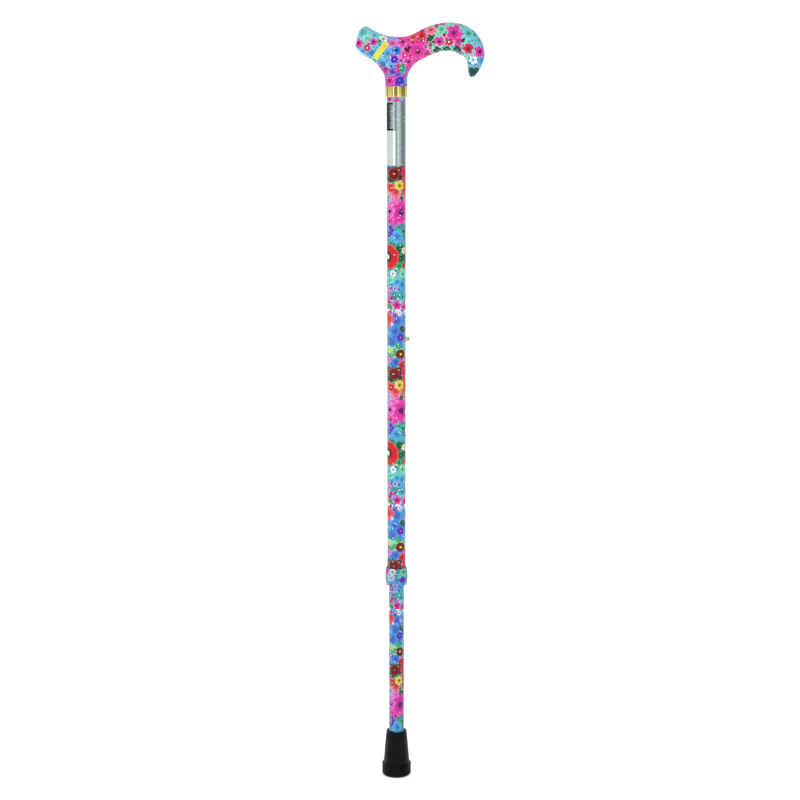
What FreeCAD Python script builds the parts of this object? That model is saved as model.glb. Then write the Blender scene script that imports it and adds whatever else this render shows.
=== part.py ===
import FreeCAD, Part
import math
import os

# Height-adjustable single point cane with a derby handle.
# Millimetres. The origin is the ferrule's contact with the floor, on the shaft's axis.
# +Z runs up the shaft, +X points the way the handle's long arm and its nose point.

os.makedirs("parts", exist_ok=True)

Vec = FreeCAD.Vector
UP = Vec(0, 0, 1)

# Tubes: 3/4 inch over 5/8 inch
UPPER_R = 9.525
LOWER_R = 7.95
WALL = 1.2
UPPER_BORE_R = UPPER_R - WALL
LOWER_BORE_R = LOWER_R - WALL
RUNNING = 0.08

# Heights along the shaft
TUBE_SEAT_Z = 9.5
LOCK_BOTTOM_Z = 210.0
LOCK_TOP_Z = 229.0
UPPER_BOTTOM_Z = 217.0
BUTTON_Z = 470.0
LOWER_TOP_Z = 497.0
LABEL_BOTTOM_Z = 647.0
LABEL_TOP_Z = 711.0
RING_BOTTOM_Z = 715.3
NECK_Z = 725.8
UPPER_TOP_Z = 735.8

# Row of button holes, up and down from the button's own hole
HOLE_PITCH = 19.05
HOLES_ABOVE = 4
HOLES_BELOW = 8
HOLE_R = 2.7
BUTTON_R = 2.6
BUTTON_TIP_X = 13.4

# Thread between the bush and the lock collar
THREAD_PITCH = 1.5
THREAD_CORE_R = 10.0
THREAD_DEPTH = 0.34
THREAD_GAP = 0.09
THREAD_START_Z = 218.2
THREAD_LENGTH = 7.0
THREAD_FLANK = 0.34
THREAD_CREST = 0.12

# Compression ring, between the lock collar's seat and the bush's
SQUEEZE_R = 9.5
SQUEEZE_BOTTOM_Z = 211.75
SQUEEZE_TOP_Z = 214.75
SQUEEZE_SLIT = 0.8
SEAT_GAP = 0.15

# Spigot and screw that hold the handle on
SPIGOT_BOTTOM_Z = 688.0
SPIGOT_TOP_Z = 744.0
SCREW_R = 2.2
SCREW_TIP_Z = 766.0
SCREW_HEAD_R = 4.2
SCREW_HEAD_H = 3.4
SCREW_CLEARANCE = 0.3
SCREW_WASHER_R = 6.5
WASHER_H = 1.5

# Label: foil all round the tube, and a paper panel on part of it
FOIL = 0.15
PANEL = 0.12
PANEL_BOTTOM_Z = LABEL_BOTTOM_Z + 0.6
PANEL_TOP_Z = 681.8
PANEL_START_DEG = 175.0
PANEL_SWEEP_DEG = 90.0

# Button's flange, inside the lower tube
FLANGE_BACK_X = 4.5
FLANGE_H = 1.0
FLANGE_R = 3.5

# Ferrule
FERRULE_TOP_Z = 49.0
FOOT_R = 15.4
FOOT_H = 13.0
FERRULE_TOP_R = 10.75
CONE_FOOT_R = 13.9
WASHER_R = 7.9
GROOVES = 4
GROOVE_PITCH = 2.3
TREADS_R = (3.6, 7.0, 10.4)


def save(shape, node):
    """Write one piece and say what it measures."""
    if not shape.isValid() or shape.Volume <= 0:
        raise RuntimeError(node + " is not a valid solid")
    shape.exportStep("parts/" + node + ".step")
    box = shape.BoundBox
    print("%-18s solids %d volume %9.1f  x %6.1f %6.1f  y %6.1f %6.1f  z %6.1f %6.1f" % (
        node, len(shape.Solids), shape.Volume, box.XMin, box.XMax, box.YMin, box.YMax, box.ZMin, box.ZMax))


def cylinder(radius, bottom, top):
    return Part.makeCylinder(radius, top - bottom, Vec(0, 0, bottom), UP)


def ring(outer, inner, bottom, top):
    return cylinder(outer, bottom, top).cut(cylinder(inner, bottom, top))


def edges_of(outline):
    """Edges of a closed outline of (radius, height) points; a third item is an arc's middle point."""
    edges = []
    for start, end in zip(outline, outline[1:] + outline[:1]):
        a = Vec(start[0], 0, start[1])
        b = Vec(end[0], 0, end[1])
        if len(end) == 3:
            middle = Vec(end[2][0], 0, end[2][1])
            edges.append(Part.Arc(a, middle, b).toShape())
        else:
            edges.append(Part.makeLine(a, b))
    return edges


def turned(outline):
    """Solid of revolution about the shaft's axis."""
    face = Part.Face(Part.Wire(edges_of(outline)))
    return face.revolve(Vec(0, 0, 0), UP, 360)


# ---------------------------------------------------------------- handle

# Stations along the handle's spine, tail to nose: centre x, centre z, half height, half width
HANDLE_STATIONS = [
    (-39.2, 775.2, 4.4, 3.6),
    (-38.0, 774.8, 8.6, 7.0),
    (-34.6, 773.2, 12.0, 10.0),
    (-28.4, 769.1, 13.1, 11.5),
    (-17.0, 763.4, 13.8, 12.3),
    (0.0, 760.2, 14.4, 12.6),
    (17.0, 763.4, 13.8, 12.7),
    (33.0, 770.5, 13.8, 12.8),
    (49.0, 774.3, 14.1, 12.8),
    (63.0, 772.0, 14.2, 12.6),
    (73.4, 764.6, 12.8, 11.8),
    (78.4, 754.6, 9.8, 10.4),
    (77.1, 745.6, 6.7, 8.4),
    (74.9, 739.6, 4.0, 6.0),
    (73.6, 736.3, 1.9, 3.2),
]
SECTION_POINTS = 16

CREASE_R = 6.0

# Levels of the neck: height, left x, right x, half width across
NECK_LEVELS = [
    (NECK_Z, -11.2, 11.2, 11.2),
    (733.0, -11.3, 11.2, 11.3),
    (739.0, -13.2, 12.4, 11.4),
    (744.0, -16.6, 15.4, 11.6),
    (748.5, -20.8, 19.6, 11.9),
    (753.0, -26.0, 24.6, 12.0),
    (758.0, -29.5, 29.5, 11.6),
]


def oval(centre, along, across, half_a, half_b):
    """Closed smooth wire through points of an ellipse in the plane of two directions."""
    points = []
    for i in range(SECTION_POINTS):
        angle = 2 * math.pi * i / SECTION_POINTS
        points.append(centre + along * (half_a * math.cos(angle)) + across * (half_b * math.sin(angle)))
    curve = Part.BSplineCurve()
    curve.interpolate(points, PeriodicFlag=True)
    return Part.Wire(curve.toShape())


def handle_arm():
    centres = [Vec(x, 0, z) for x, z, half_height, half_width in HANDLE_STATIONS]
    spine = Part.BSplineCurve()
    spine.interpolate(centres)
    wires = []
    for centre, station in zip(centres, HANDLE_STATIONS):
        tangent = spine.tangent(spine.parameter(centre))[0]
        normal = Vec(-tangent.z, 0, tangent.x)
        wires.append(oval(centre, normal, Vec(0, 1, 0), station[2], station[3]))
    return Part.makeLoft(wires, True, False)


def handle_neck():
    wires = []
    for z, left, right, half_width in NECK_LEVELS:
        centre = Vec((left + right) / 2, 0, z)
        wires.append(oval(centre, Vec(1, 0, 0), Vec(0, 1, 0), (right - left) / 2, half_width))
    return Part.makeLoft(wires, True, False)


def blended_grip():
    """Arm and neck as one body, with the crease between them rounded."""
    body = handle_arm().fuse(handle_neck())
    crease_low = 740.0
    crease_high = 765.0
    crease = [edge for edge in body.Edges
              if edge.BoundBox.ZMin > crease_low and edge.BoundBox.ZMax < crease_high]
    return body.makeFillet(CREASE_R, crease)


def handle():
    body = blended_grip()
    body = body.cut(cylinder(UPPER_R, NECK_Z - 1, UPPER_TOP_Z))
    body = body.cut(cylinder(UPPER_BORE_R, UPPER_TOP_Z - 1, SPIGOT_TOP_Z))
    body = body.cut(screw_shank())
    return body.Solids[0]


def handle_collar():
    outer = 10.95
    edge = 0.35
    return turned([
        (UPPER_R, RING_BOTTOM_Z),
        (outer - edge, RING_BOTTOM_Z),
        (outer, RING_BOTTOM_Z + edge),
        (outer, NECK_Z - edge),
        (outer - edge, NECK_Z),
        (UPPER_R, NECK_Z),
    ])


def handle_spigot():
    """Plug for the tube's top and the handle's bore, with three glue grooves."""
    chamfer = 1.0
    groove_depth = 0.5
    groove_h = 2.0
    groove_pitch = 12.0
    bore_r = SCREW_R + SCREW_CLEARANCE
    body = turned([
        (bore_r, SPIGOT_BOTTOM_Z),
        (UPPER_BORE_R - chamfer, SPIGOT_BOTTOM_Z),
        (UPPER_BORE_R, SPIGOT_BOTTOM_Z + chamfer),
        (UPPER_BORE_R, SPIGOT_TOP_Z - chamfer),
        (UPPER_BORE_R - chamfer, SPIGOT_TOP_Z),
        (bore_r, SPIGOT_TOP_Z),
    ])
    for i in range(1, 4):
        z = SPIGOT_BOTTOM_Z + i * groove_pitch
        body = body.cut(ring(UPPER_BORE_R + 1, UPPER_BORE_R - groove_depth, z, z + groove_h))
    return body


def screw_shank():
    head_top = SPIGOT_BOTTOM_Z - WASHER_H
    point_length = 5.0
    return turned([
        (0, head_top),
        (SCREW_R, head_top),
        (SCREW_R, SCREW_TIP_Z - point_length),
        (0, SCREW_TIP_Z),
    ])


def spigot_screw():
    """Pan-head screw, head down, with a crossed recess."""
    head_top = SPIGOT_BOTTOM_Z - WASHER_H
    head_bottom = head_top - SCREW_HEAD_H
    flat_r = SCREW_HEAD_R - 1.6
    rim_z = head_top - 1.2
    recess_width = 0.9
    recess_length = 5.0
    recess_depth = 1.8
    head = turned([
        (0, head_bottom),
        (flat_r, head_bottom),
        (SCREW_HEAD_R, rim_z, (SCREW_HEAD_R - 0.4, head_bottom + 0.8)),
        (SCREW_HEAD_R, head_top),
        (0, head_top),
    ])
    arm = Part.makeBox(recess_width, recess_length, recess_depth,
                       Vec(-recess_width / 2, -recess_length / 2, head_bottom))
    cross_arm = arm.copy()
    cross_arm.rotate(Vec(0, 0, 0), UP, 90)
    return head.cut(arm.fuse(cross_arm)).fuse(screw_shank()).removeSplitter()


def screw_washer():
    return ring(SCREW_WASHER_R, SCREW_R + SCREW_CLEARANCE, SPIGOT_BOTTOM_Z - WASHER_H, SPIGOT_BOTTOM_Z)


# ---------------------------------------------------------------- shaft

def side_hole(radius, z):
    """Cutter for a hole through the +X wall of a tube."""
    return Part.makeCylinder(radius, UPPER_R + 5, Vec(0, 0, z), Vec(1, 0, 0))


def upper_shaft():
    tube = ring(UPPER_R, UPPER_BORE_R, UPPER_BOTTOM_Z, UPPER_TOP_Z)
    for step in range(-HOLES_BELOW, HOLES_ABOVE + 1):
        tube = tube.cut(side_hole(HOLE_R, BUTTON_Z + step * HOLE_PITCH))
    return tube


def lower_shaft():
    tube = ring(LOWER_R, LOWER_BORE_R, TUBE_SEAT_Z, LOWER_TOP_Z)
    return tube.cut(side_hole(HOLE_R, BUTTON_Z))


def shaft_label():
    return ring(UPPER_R + FOIL, UPPER_R, LABEL_BOTTOM_Z, LABEL_TOP_Z)


def label_panel():
    inner = UPPER_R + FOIL
    outer = inner + PANEL
    corners = [Vec(inner, 0, PANEL_BOTTOM_Z), Vec(outer, 0, PANEL_BOTTOM_Z),
               Vec(outer, 0, PANEL_TOP_Z), Vec(inner, 0, PANEL_TOP_Z)]
    face = Part.Face(Part.makePolygon(corners + corners[:1]))
    face.rotate(Vec(0, 0, 0), UP, PANEL_START_DEG)
    return face.revolve(Vec(0, 0, 0), UP, PANEL_SWEEP_DEG)


def glide_cap():
    plug_depth = 8.0
    flange_h = 3.6
    chamfer = 1.0
    core_r = 4.5
    top = LOWER_TOP_Z + flange_h
    return turned([
        (core_r, LOWER_TOP_Z - plug_depth),
        (LOWER_BORE_R, LOWER_TOP_Z - plug_depth),
        (LOWER_BORE_R, LOWER_TOP_Z),
        (UPPER_BORE_R - RUNNING, LOWER_TOP_Z),
        (UPPER_BORE_R - RUNNING, top - chamfer),
        (UPPER_BORE_R - RUNNING - chamfer, top),
        (core_r, top),
    ])


# ---------------------------------------------------------------- button

def button_pin():
    """Turned pin with a domed end, lying along +X through both tubes."""
    dome_start = BUTTON_TIP_X - 1.5
    tip_flat_r = 0.6
    dome_middle = (BUTTON_R * 0.75, BUTTON_TIP_X - 0.45)
    pin = turned([
        (0, FLANGE_BACK_X),
        (FLANGE_R, FLANGE_BACK_X),
        (FLANGE_R, FLANGE_BACK_X + FLANGE_H),
        (BUTTON_R, FLANGE_BACK_X + FLANGE_H),
        (BUTTON_R, dome_start),
        (tip_flat_r, BUTTON_TIP_X, dome_middle),
        (0, BUTTON_TIP_X),
    ])
    pin.rotate(Vec(0, 0, 0), Vec(0, 1, 0), 90)
    pin.translate(Vec(0, 0, BUTTON_Z))
    return pin


def button_spring():
    """Hairpin leaf spring: one leg behind the pin, the other on the far wall."""
    strip = 0.5
    width = 5.0
    front_x = FLANGE_BACK_X - 0.05
    back_x = -6.1
    bend_z = 438.0
    front_top = BUTTON_Z + 5.0
    back_top = BUTTON_Z + 12.0
    middle_x = (front_x + back_x) / 2
    outer_r = (front_x - back_x) / 2
    inner_r = outer_r - strip
    profile = Part.Face(Part.Wire(edges_of([
        (front_x, front_top),
        (front_x, bend_z),
        (back_x, bend_z, (middle_x, bend_z - outer_r)),
        (back_x, back_top),
        (back_x + strip, back_top),
        (back_x + strip, bend_z),
        (front_x - strip, bend_z, (middle_x, bend_z - inner_r)),
        (front_x - strip, front_top),
    ])))
    profile.translate(Vec(0, -width / 2, 0))
    return profile.extrude(Vec(0, width, 0))


# ---------------------------------------------------------------- lock collar

def helical_ridge(root_r, crest_r, start_z, length):
    """Triangular ridge that winds up the axis with the right-hand thread's pitch."""
    overlap = 0.12
    half_root = THREAD_PITCH * THREAD_FLANK
    half_crest = THREAD_CREST / 2
    outward = 1 if crest_r > root_r else -1
    root = root_r - outward * overlap
    corners = [Vec(root, 0, start_z - half_root), Vec(crest_r, 0, start_z - half_crest),
               Vec(crest_r, 0, start_z + half_crest), Vec(root, 0, start_z + half_root)]
    profile = Part.makePolygon(corners + corners[:1])
    helix = Part.makeHelix(THREAD_PITCH, length, root_r)
    helix.translate(Vec(0, 0, start_z))
    return Part.Wire(helix).makePipeShell([profile], True, True)


def threaded_bush():
    """Bush pressed over the upper tube's end, with the lock collar's thread outside."""
    bore_r = LOWER_R + RUNNING
    mouth_r = 9.0
    cone_h = 1.2
    chamfer = 0.3
    bottom = SQUEEZE_TOP_Z - SEAT_GAP
    top = LOCK_TOP_Z - 0.5
    core = turned([
        (mouth_r, bottom),
        (THREAD_CORE_R - chamfer, bottom),
        (THREAD_CORE_R, bottom + chamfer),
        (THREAD_CORE_R, top),
        (UPPER_R, top),
        (UPPER_R, UPPER_BOTTOM_Z),
        (bore_r, UPPER_BOTTOM_Z),
        (bore_r, bottom + cone_h),
    ])
    ridge = helical_ridge(THREAD_CORE_R, THREAD_CORE_R + THREAD_DEPTH, THREAD_START_Z, THREAD_LENGTH)
    return core.fuse(ridge).cut(cylinder(UPPER_R, UPPER_BOTTOM_Z, LOCK_TOP_Z)).Solids[0]


def lock_collar():
    """Barrelled nut that squeezes the compression ring; its thread lies between the bush's turns."""
    lip_r = LOWER_R + 0.45
    root_r = THREAD_CORE_R + THREAD_DEPTH + THREAD_GAP
    foot_r = 10.75
    belly_r = 11.65
    shoulder_r = 11.3
    rim_r = 10.8
    belly_z = (LOCK_BOTTOM_Z + LOCK_TOP_Z) / 2
    seat_bottom = SQUEEZE_BOTTOM_Z - SEAT_GAP
    seat_top = seat_bottom + 2.0
    seat_inner_r = 8.75
    seat_outer_r = 9.85
    body = turned([
        (lip_r, LOCK_BOTTOM_Z),
        (foot_r - 0.45, LOCK_BOTTOM_Z),
        (foot_r, LOCK_BOTTOM_Z + 0.6, (foot_r - 0.13, LOCK_BOTTOM_Z + 0.15)),
        (shoulder_r, LOCK_TOP_Z - 1.2, (belly_r, belly_z)),
        (rim_r, LOCK_TOP_Z, (shoulder_r - 0.15, LOCK_TOP_Z - 0.35)),
        (root_r, LOCK_TOP_Z),
        (root_r, seat_top + 0.6),
        (seat_outer_r, seat_top),
        (seat_inner_r, seat_bottom),
        (lip_r, seat_bottom),
    ])
    crest_r = THREAD_CORE_R + THREAD_GAP
    start = THREAD_START_Z + THREAD_PITCH / 2
    ridge = helical_ridge(root_r, crest_r, start, THREAD_LENGTH)
    return body.fuse(ridge).Solids[0]


def compression_ring():
    """Split ring with a cone each way, squeezed between the collar and the bush."""
    bore_r = LOWER_R + RUNNING
    lower_nose_r = 8.65
    upper_nose_r = 8.75
    lower_cone_h = 1.65
    upper_cone_h = 0.85
    body = turned([
        (bore_r, SQUEEZE_BOTTOM_Z),
        (lower_nose_r, SQUEEZE_BOTTOM_Z),
        (SQUEEZE_R, SQUEEZE_BOTTOM_Z + lower_cone_h),
        (SQUEEZE_R, SQUEEZE_TOP_Z - upper_cone_h),
        (upper_nose_r, SQUEEZE_TOP_Z),
        (bore_r, SQUEEZE_TOP_Z),
    ])
    reach = 2 * SQUEEZE_R
    corner = Vec(-reach, -SQUEEZE_SLIT / 2, SQUEEZE_BOTTOM_Z - 1)
    return body.cut(Part.makeBox(reach, SQUEEZE_SLIT, SQUEEZE_TOP_Z - SQUEEZE_BOTTOM_Z + 2, corner))


# ---------------------------------------------------------------- ferrule

def ferrule():
    """Rubber foot: a tapered socket on a ribbed disc with ring treads beneath."""
    tread_edge = 2.6
    shoulder = 0.7
    lip = 0.8
    lip_h = 4.0
    corner = 1 - math.sqrt(0.5)
    body = turned([
        (0, 0),
        (FOOT_R - tread_edge, 0),
        (FOOT_R, tread_edge, (FOOT_R - tread_edge * corner, tread_edge * corner)),
        (FOOT_R, FOOT_H - shoulder),
        (FOOT_R - shoulder, FOOT_H, (FOOT_R - shoulder * corner, FOOT_H - shoulder * corner)),
        (CONE_FOOT_R, FOOT_H),
        (CONE_FOOT_R - 0.35, FOOT_H + 2.6, (CONE_FOOT_R - 0.28, FOOT_H + 1.1)),
        (FERRULE_TOP_R + 0.35, FERRULE_TOP_Z - lip_h),
        (FERRULE_TOP_R, FERRULE_TOP_Z - lip),
        (FERRULE_TOP_R - lip, FERRULE_TOP_Z, (FERRULE_TOP_R - lip * corner, FERRULE_TOP_Z - lip * corner)),
        (LOWER_R, FERRULE_TOP_Z),
        (LOWER_R, TUBE_SEAT_Z),
        (WASHER_R, TUBE_SEAT_Z),
        (WASHER_R, TUBE_SEAT_Z - WASHER_H),
        (0, TUBE_SEAT_Z - WASHER_H),
    ])
    first_groove_z = 3.4
    groove_h = 0.9
    groove_depth = 0.45
    for i in range(GROOVES):
        z = first_groove_z + i * GROOVE_PITCH
        body = body.cut(ring(FOOT_R + 1, FOOT_R - groove_depth, z, z + groove_h))
    tread_gap = 1.5
    tread_depth = 1.6
    for inner in TREADS_R:
        body = body.cut(ring(inner + tread_gap, inner, -1, tread_depth))
    return body


def ferrule_washer():
    return cylinder(WASHER_R, TUBE_SEAT_Z - WASHER_H, TUBE_SEAT_Z)


PIECES = [handle, handle_collar, handle_spigot, spigot_screw, screw_washer, upper_shaft, shaft_label,
          label_panel, threaded_bush, compression_ring, lock_collar, lower_shaft, glide_cap, button_pin,
          button_spring, ferrule, ferrule_washer]

for make in PIECES:
    save(make(), make.__name__)
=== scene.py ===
import math

import bpy
import bmesh
import numpy as np
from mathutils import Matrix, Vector


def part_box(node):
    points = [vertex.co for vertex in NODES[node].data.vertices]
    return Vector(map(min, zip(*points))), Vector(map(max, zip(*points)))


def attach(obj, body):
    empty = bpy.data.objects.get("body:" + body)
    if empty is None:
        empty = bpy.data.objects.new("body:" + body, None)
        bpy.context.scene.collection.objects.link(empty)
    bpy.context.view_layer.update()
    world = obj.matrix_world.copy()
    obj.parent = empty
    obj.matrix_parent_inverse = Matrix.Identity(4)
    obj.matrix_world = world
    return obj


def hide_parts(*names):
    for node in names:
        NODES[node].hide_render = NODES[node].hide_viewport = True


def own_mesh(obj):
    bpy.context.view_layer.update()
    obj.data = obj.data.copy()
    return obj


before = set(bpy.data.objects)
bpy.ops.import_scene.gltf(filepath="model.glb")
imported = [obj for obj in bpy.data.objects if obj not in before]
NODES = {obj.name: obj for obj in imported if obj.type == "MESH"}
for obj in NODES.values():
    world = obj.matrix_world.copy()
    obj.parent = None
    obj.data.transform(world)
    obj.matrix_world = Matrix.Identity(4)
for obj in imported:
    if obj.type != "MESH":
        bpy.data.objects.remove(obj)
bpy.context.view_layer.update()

MM = 0.001

# ------ colours

def srgb(*colour):
    """Linear RGBA of a colour given as sRGB bytes."""
    out = []
    for byte in colour:
        c = byte / 255
        out.append(c / 12.92 if c <= 0.04045 else ((c + 0.055) / 1.055) ** 2.4)
    return (*out, 1.0)


MAROON = srgb(128, 0, 12)
ROSE = srgb(206, 60, 72)
CRIMSON = srgb(222, 26, 84)
SCARLET = srgb(226, 12, 24)
CORAL = srgb(246, 84, 100)
SALMON = srgb(255, 140, 160)
HOT_PINK = srgb(238, 50, 172)
ORCHID = srgb(240, 110, 208)
LILAC = srgb(196, 176, 244)
VIOLET = srgb(92, 34, 196)
PURPLE = srgb(128, 62, 198)
PLUM = srgb(104, 16, 104)
CORNFLOWER = srgb(50, 130, 220)
SKY = srgb(80, 178, 232)
TURQUOISE = srgb(58, 178, 186)
MINT = srgb(130, 232, 196)
AQUA = srgb(126, 216, 216)
TEAL = srgb(34, 136, 136)
LEAF = srgb(48, 172, 92)
DEEP_LEAF = srgb(12, 84, 60)
YELLOW = srgb(228, 226, 84)
CREAM = srgb(246, 238, 190)
WHITE = srgb(248, 252, 252)
NAVY = srgb(28, 38, 128)
INK = srgb(26, 18, 34)


# ------ building node trees

class Graph:
    """Short calls for a node tree. Any input can be a socket, a number or a tuple."""

    def __init__(self, tree):
        self.tree = tree

    def add(self, kind, **settings):
        """New node with its settings."""
        node = self.tree.nodes.new(kind)
        for name, value in settings.items():
            setattr(node, name, value)
        return node

    def feed(self, socket, value):
        """Link a socket, or set its number or tuple. None leaves it alone."""
        if isinstance(value, bpy.types.NodeSocket):
            self.tree.links.new(value, socket)
        elif value is not None:
            socket.default_value = value

    def wire(self, node, **inputs):
        """Feed a node's inputs by name, with _ for each space, and give its outputs."""
        for name, value in inputs.items():
            self.feed(node.inputs[name.replace("_", " ")], value)
        return node.outputs

    def math(self, operation, *values, clamp=False):
        node = self.add("ShaderNodeMath", operation=operation, use_clamp=clamp)
        for socket, value in zip(node.inputs, values):
            self.feed(socket, value)
        return node.outputs[0]

    def times(self, a, b):
        return self.math("MULTIPLY", a, b)

    def over(self, a, b):
        return self.math("DIVIDE", a, b)

    def plus(self, a, b, clamp=False):
        return self.math("ADD", a, b, clamp=clamp)

    def minus(self, a, b):
        return self.math("SUBTRACT", a, b)

    def hypot(self, a, b):
        """Length of the flat vector (a, b)."""
        return self.math("SQRT", self.plus(self.times(a, a), self.times(b, b)))

    def wrapped(self, value, turn):
        """value brought to within half a turn of 0."""
        return self.math("WRAP", value, -turn / 2, turn / 2)

    def scale_shift(self, value, scale, shift):
        """value times scale, plus shift."""
        return self.math("MULTIPLY_ADD", value, scale, shift)

    def vector(self, operation, *values):
        node = self.add("ShaderNodeVectorMath", operation=operation)
        sockets = [node.inputs[0], node.inputs[3]] if operation == "SCALE" else node.inputs
        for socket, value in zip(sockets, values):
            self.feed(socket, value)
        scalar = operation in ("DOT_PRODUCT", "LENGTH", "DISTANCE")
        return node.outputs["Value" if scalar else "Vector"]

    def split(self, vector):
        """X, Y and Z of a vector."""
        return self.wire(self.add("ShaderNodeSeparateXYZ"), Vector=vector)

    def join(self, x, y, z):
        return self.wire(self.add("ShaderNodeCombineXYZ"), X=x, Y=y, Z=z)[0]

    def step(self, value, low, high, start=0.0, end=1.0):
        """Smooth step of value from low to high, giving start to end."""
        node = self.add("ShaderNodeMapRange", interpolation_type="SMOOTHSTEP")
        for socket, item in zip(node.inputs, (value, low, high, start, end)):
            self.feed(socket, item)
        return node.outputs[0]

    def mix(self, factor, a, b, blend="MIX"):
        """Colour between a and b."""
        node = self.add("ShaderNodeMix", data_type="RGBA", blend_type=blend)
        for place, value in ((0, factor), (6, a), (7, b)):
            self.feed(node.inputs[place], value)
        return node.outputs[2]

    def blend(self, factor, a, b):
        """Number between a and b."""
        node = self.add("ShaderNodeMix", data_type="FLOAT")
        for place, value in ((0, factor), (2, a), (3, b)):
            self.feed(node.inputs[place], value)
        return node.outputs[0]

    def ramp(self, factor, stops, mode="CONSTANT"):
        """Colour ramp through (place, RGBA) stops; its colour and alpha sockets."""
        node = self.add("ShaderNodeValToRGB")
        ramp = node.color_ramp
        ramp.interpolation = mode
        while len(ramp.elements) < len(stops):
            ramp.elements.new(1.0)
        for element, (place, colour) in zip(ramp.elements, stops):
            element.position = place
            element.color = colour
        return self.wire(node, Fac=factor)

    def noise(self, vector, scale, detail=2.0, roughness=0.5):
        node = self.add("ShaderNodeTexNoise")
        return self.wire(node, Vector=vector, Scale=scale, Detail=detail, Roughness=roughness)["Fac"]

    def cells(self, vector, size):
        """Voronoi cells of about a size: distance, random colour and position of the nearest centre."""
        return self.wire(self.add("ShaderNodeTexVoronoi"), Vector=vector, Scale=1.0 / size)

    def bump(self, height, strength, distance):
        node = self.add("ShaderNodeBump")
        return self.wire(node, Strength=strength, Distance=distance, Height=height)["Normal"]

    def call(self, group, **inputs):
        """Outputs of a node group, fed by socket name with _ for each space."""
        return self.wire(self.add("ShaderNodeGroup", node_tree=group), **inputs)


def new_group(name, inputs, outputs):
    """Empty node group: its graph, its input sockets and the node that takes its outputs."""
    tree = bpy.data.node_groups.new(name, "ShaderNodeTree")
    kinds = {"number": "NodeSocketFloat", "vector": "NodeSocketVector", "colour": "NodeSocketColor"}
    for way, sockets in (("INPUT", inputs), ("OUTPUT", outputs)):
        for socket_name, kind in sockets.items():
            tree.interface.new_socket(socket_name, in_out=way, socket_type=kinds[kind])
    graph = Graph(tree)
    given = graph.add("NodeGroupInput").outputs
    results = graph.add("NodeGroupOutput").inputs
    return tree, graph, given, results


def new_material(name, **constants):
    """Principled material; constants go on the shader's own sockets."""
    material = bpy.data.materials.new(name)
    material.use_nodes = True
    graph = Graph(material.node_tree)
    shader = next(n for n in material.node_tree.nodes if n.type == "BSDF_PRINCIPLED")
    for socket, value in constants.items():
        shader.inputs[socket.replace("_", " ")].default_value = value
    return material, graph, shader


def object_mm(g):
    """Position on the object at rest, in millimetres."""
    coordinates = g.add("ShaderNodeTexCoord")
    return g.vector("SCALE", coordinates.outputs["Object"], 1000.0)


# ------ one painted blossom

def make_blossom():
    """Colour and mask of a flower seen from above, at (A, B) millimetres from its middle."""
    tree, g, given, results = new_group(
        "blossom",
        {"A": "number", "B": "number", "Radius": "number", "Petals": "number", "Ring": "number",
         "Petal": "colour", "Heart": "colour"},
        {"Colour": "colour", "Mask": "number"})
    # Outline: lobes of a cosine, notched less the more petals there are
    reach = g.over(g.hypot(given["A"], given["B"]), g.math("MAXIMUM", given["Radius"], 0.001))
    turn = g.times(given["Radius"], 2.7)
    angle = g.plus(g.math("ARCTAN2", given["B"], given["A"]), turn)
    half_turns = g.times(angle, g.times(given["Petals"], 0.5))
    lobe = g.math("ABSOLUTE", g.math("COSINE", half_turns))
    petals_squared = g.times(given["Petals"], given["Petals"])
    notch = g.math("MINIMUM", g.over(9.5, petals_squared), 0.5)
    rim = g.plus(g.times(g.minus(g.math("SQRT", lobe), 1.0), notch), 1.0)
    inward = g.minus(rim, reach)
    mask = g.step(inward, -0.03, 0.05)
    # Shade: darker near the heart and between petals, with a faint whorl
    depth = g.step(reach, 0.22, 0.75, 0.55, 1.0)
    crease = g.times(g.step(lobe, 0.04, 0.34, 1.0, 0.0), 0.45)
    whorl = g.times(g.math("SINE", g.scale_shift(reach, 15.0, half_turns)), 0.10)
    shade = g.plus(g.minus(depth, crease), whorl, clamp=True)
    petal = g.mix(shade, g.mix(0.72, given["Petal"], INK), given["Petal"])
    # Pale rim, dark ring and heart
    petal = g.mix(g.step(inward, 0.02, 0.16, 0.09, 0.0), petal, WHITE)
    ring_reach = g.scale_shift(given["Ring"], 0.24, 0.27)
    colour = g.mix(g.step(g.minus(ring_reach, reach), -0.02, 0.05), petal, INK)
    heart_reach = g.scale_shift(given["Ring"], -0.04, 0.23)
    colour = g.mix(g.step(g.minus(heart_reach, reach), -0.02, 0.04), colour, given["Heart"])
    g.feed(results["Colour"], colour)
    g.feed(results["Mask"], mask)
    return tree


BLOSSOM = make_blossom()

# ------ layers shared by every printed piece

MAX_PETALS = 10.0

# Small blossoms strewn under the large ones: cell, smallest and largest radius in millimetres,
# petals, share of the cells that hold one
STREWN = [(2.6, 0.8, 1.4, 4.0, 0.9), (4.4, 1.4, 2.5, 5.0, 0.8), (8.0, 2.6, 3.9, 6.0, 0.6)]

# Chances from which a small blossom takes its zone's second and third colour, and a dark heart
SECOND_FROM = 0.42
THIRD_FROM = 0.76
DARK_HEART_FROM = 0.3

SPECK_CELL = 1.9
PALE_SPECKS = 0.07
DARK_SPECKS_FROM = 0.84


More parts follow.
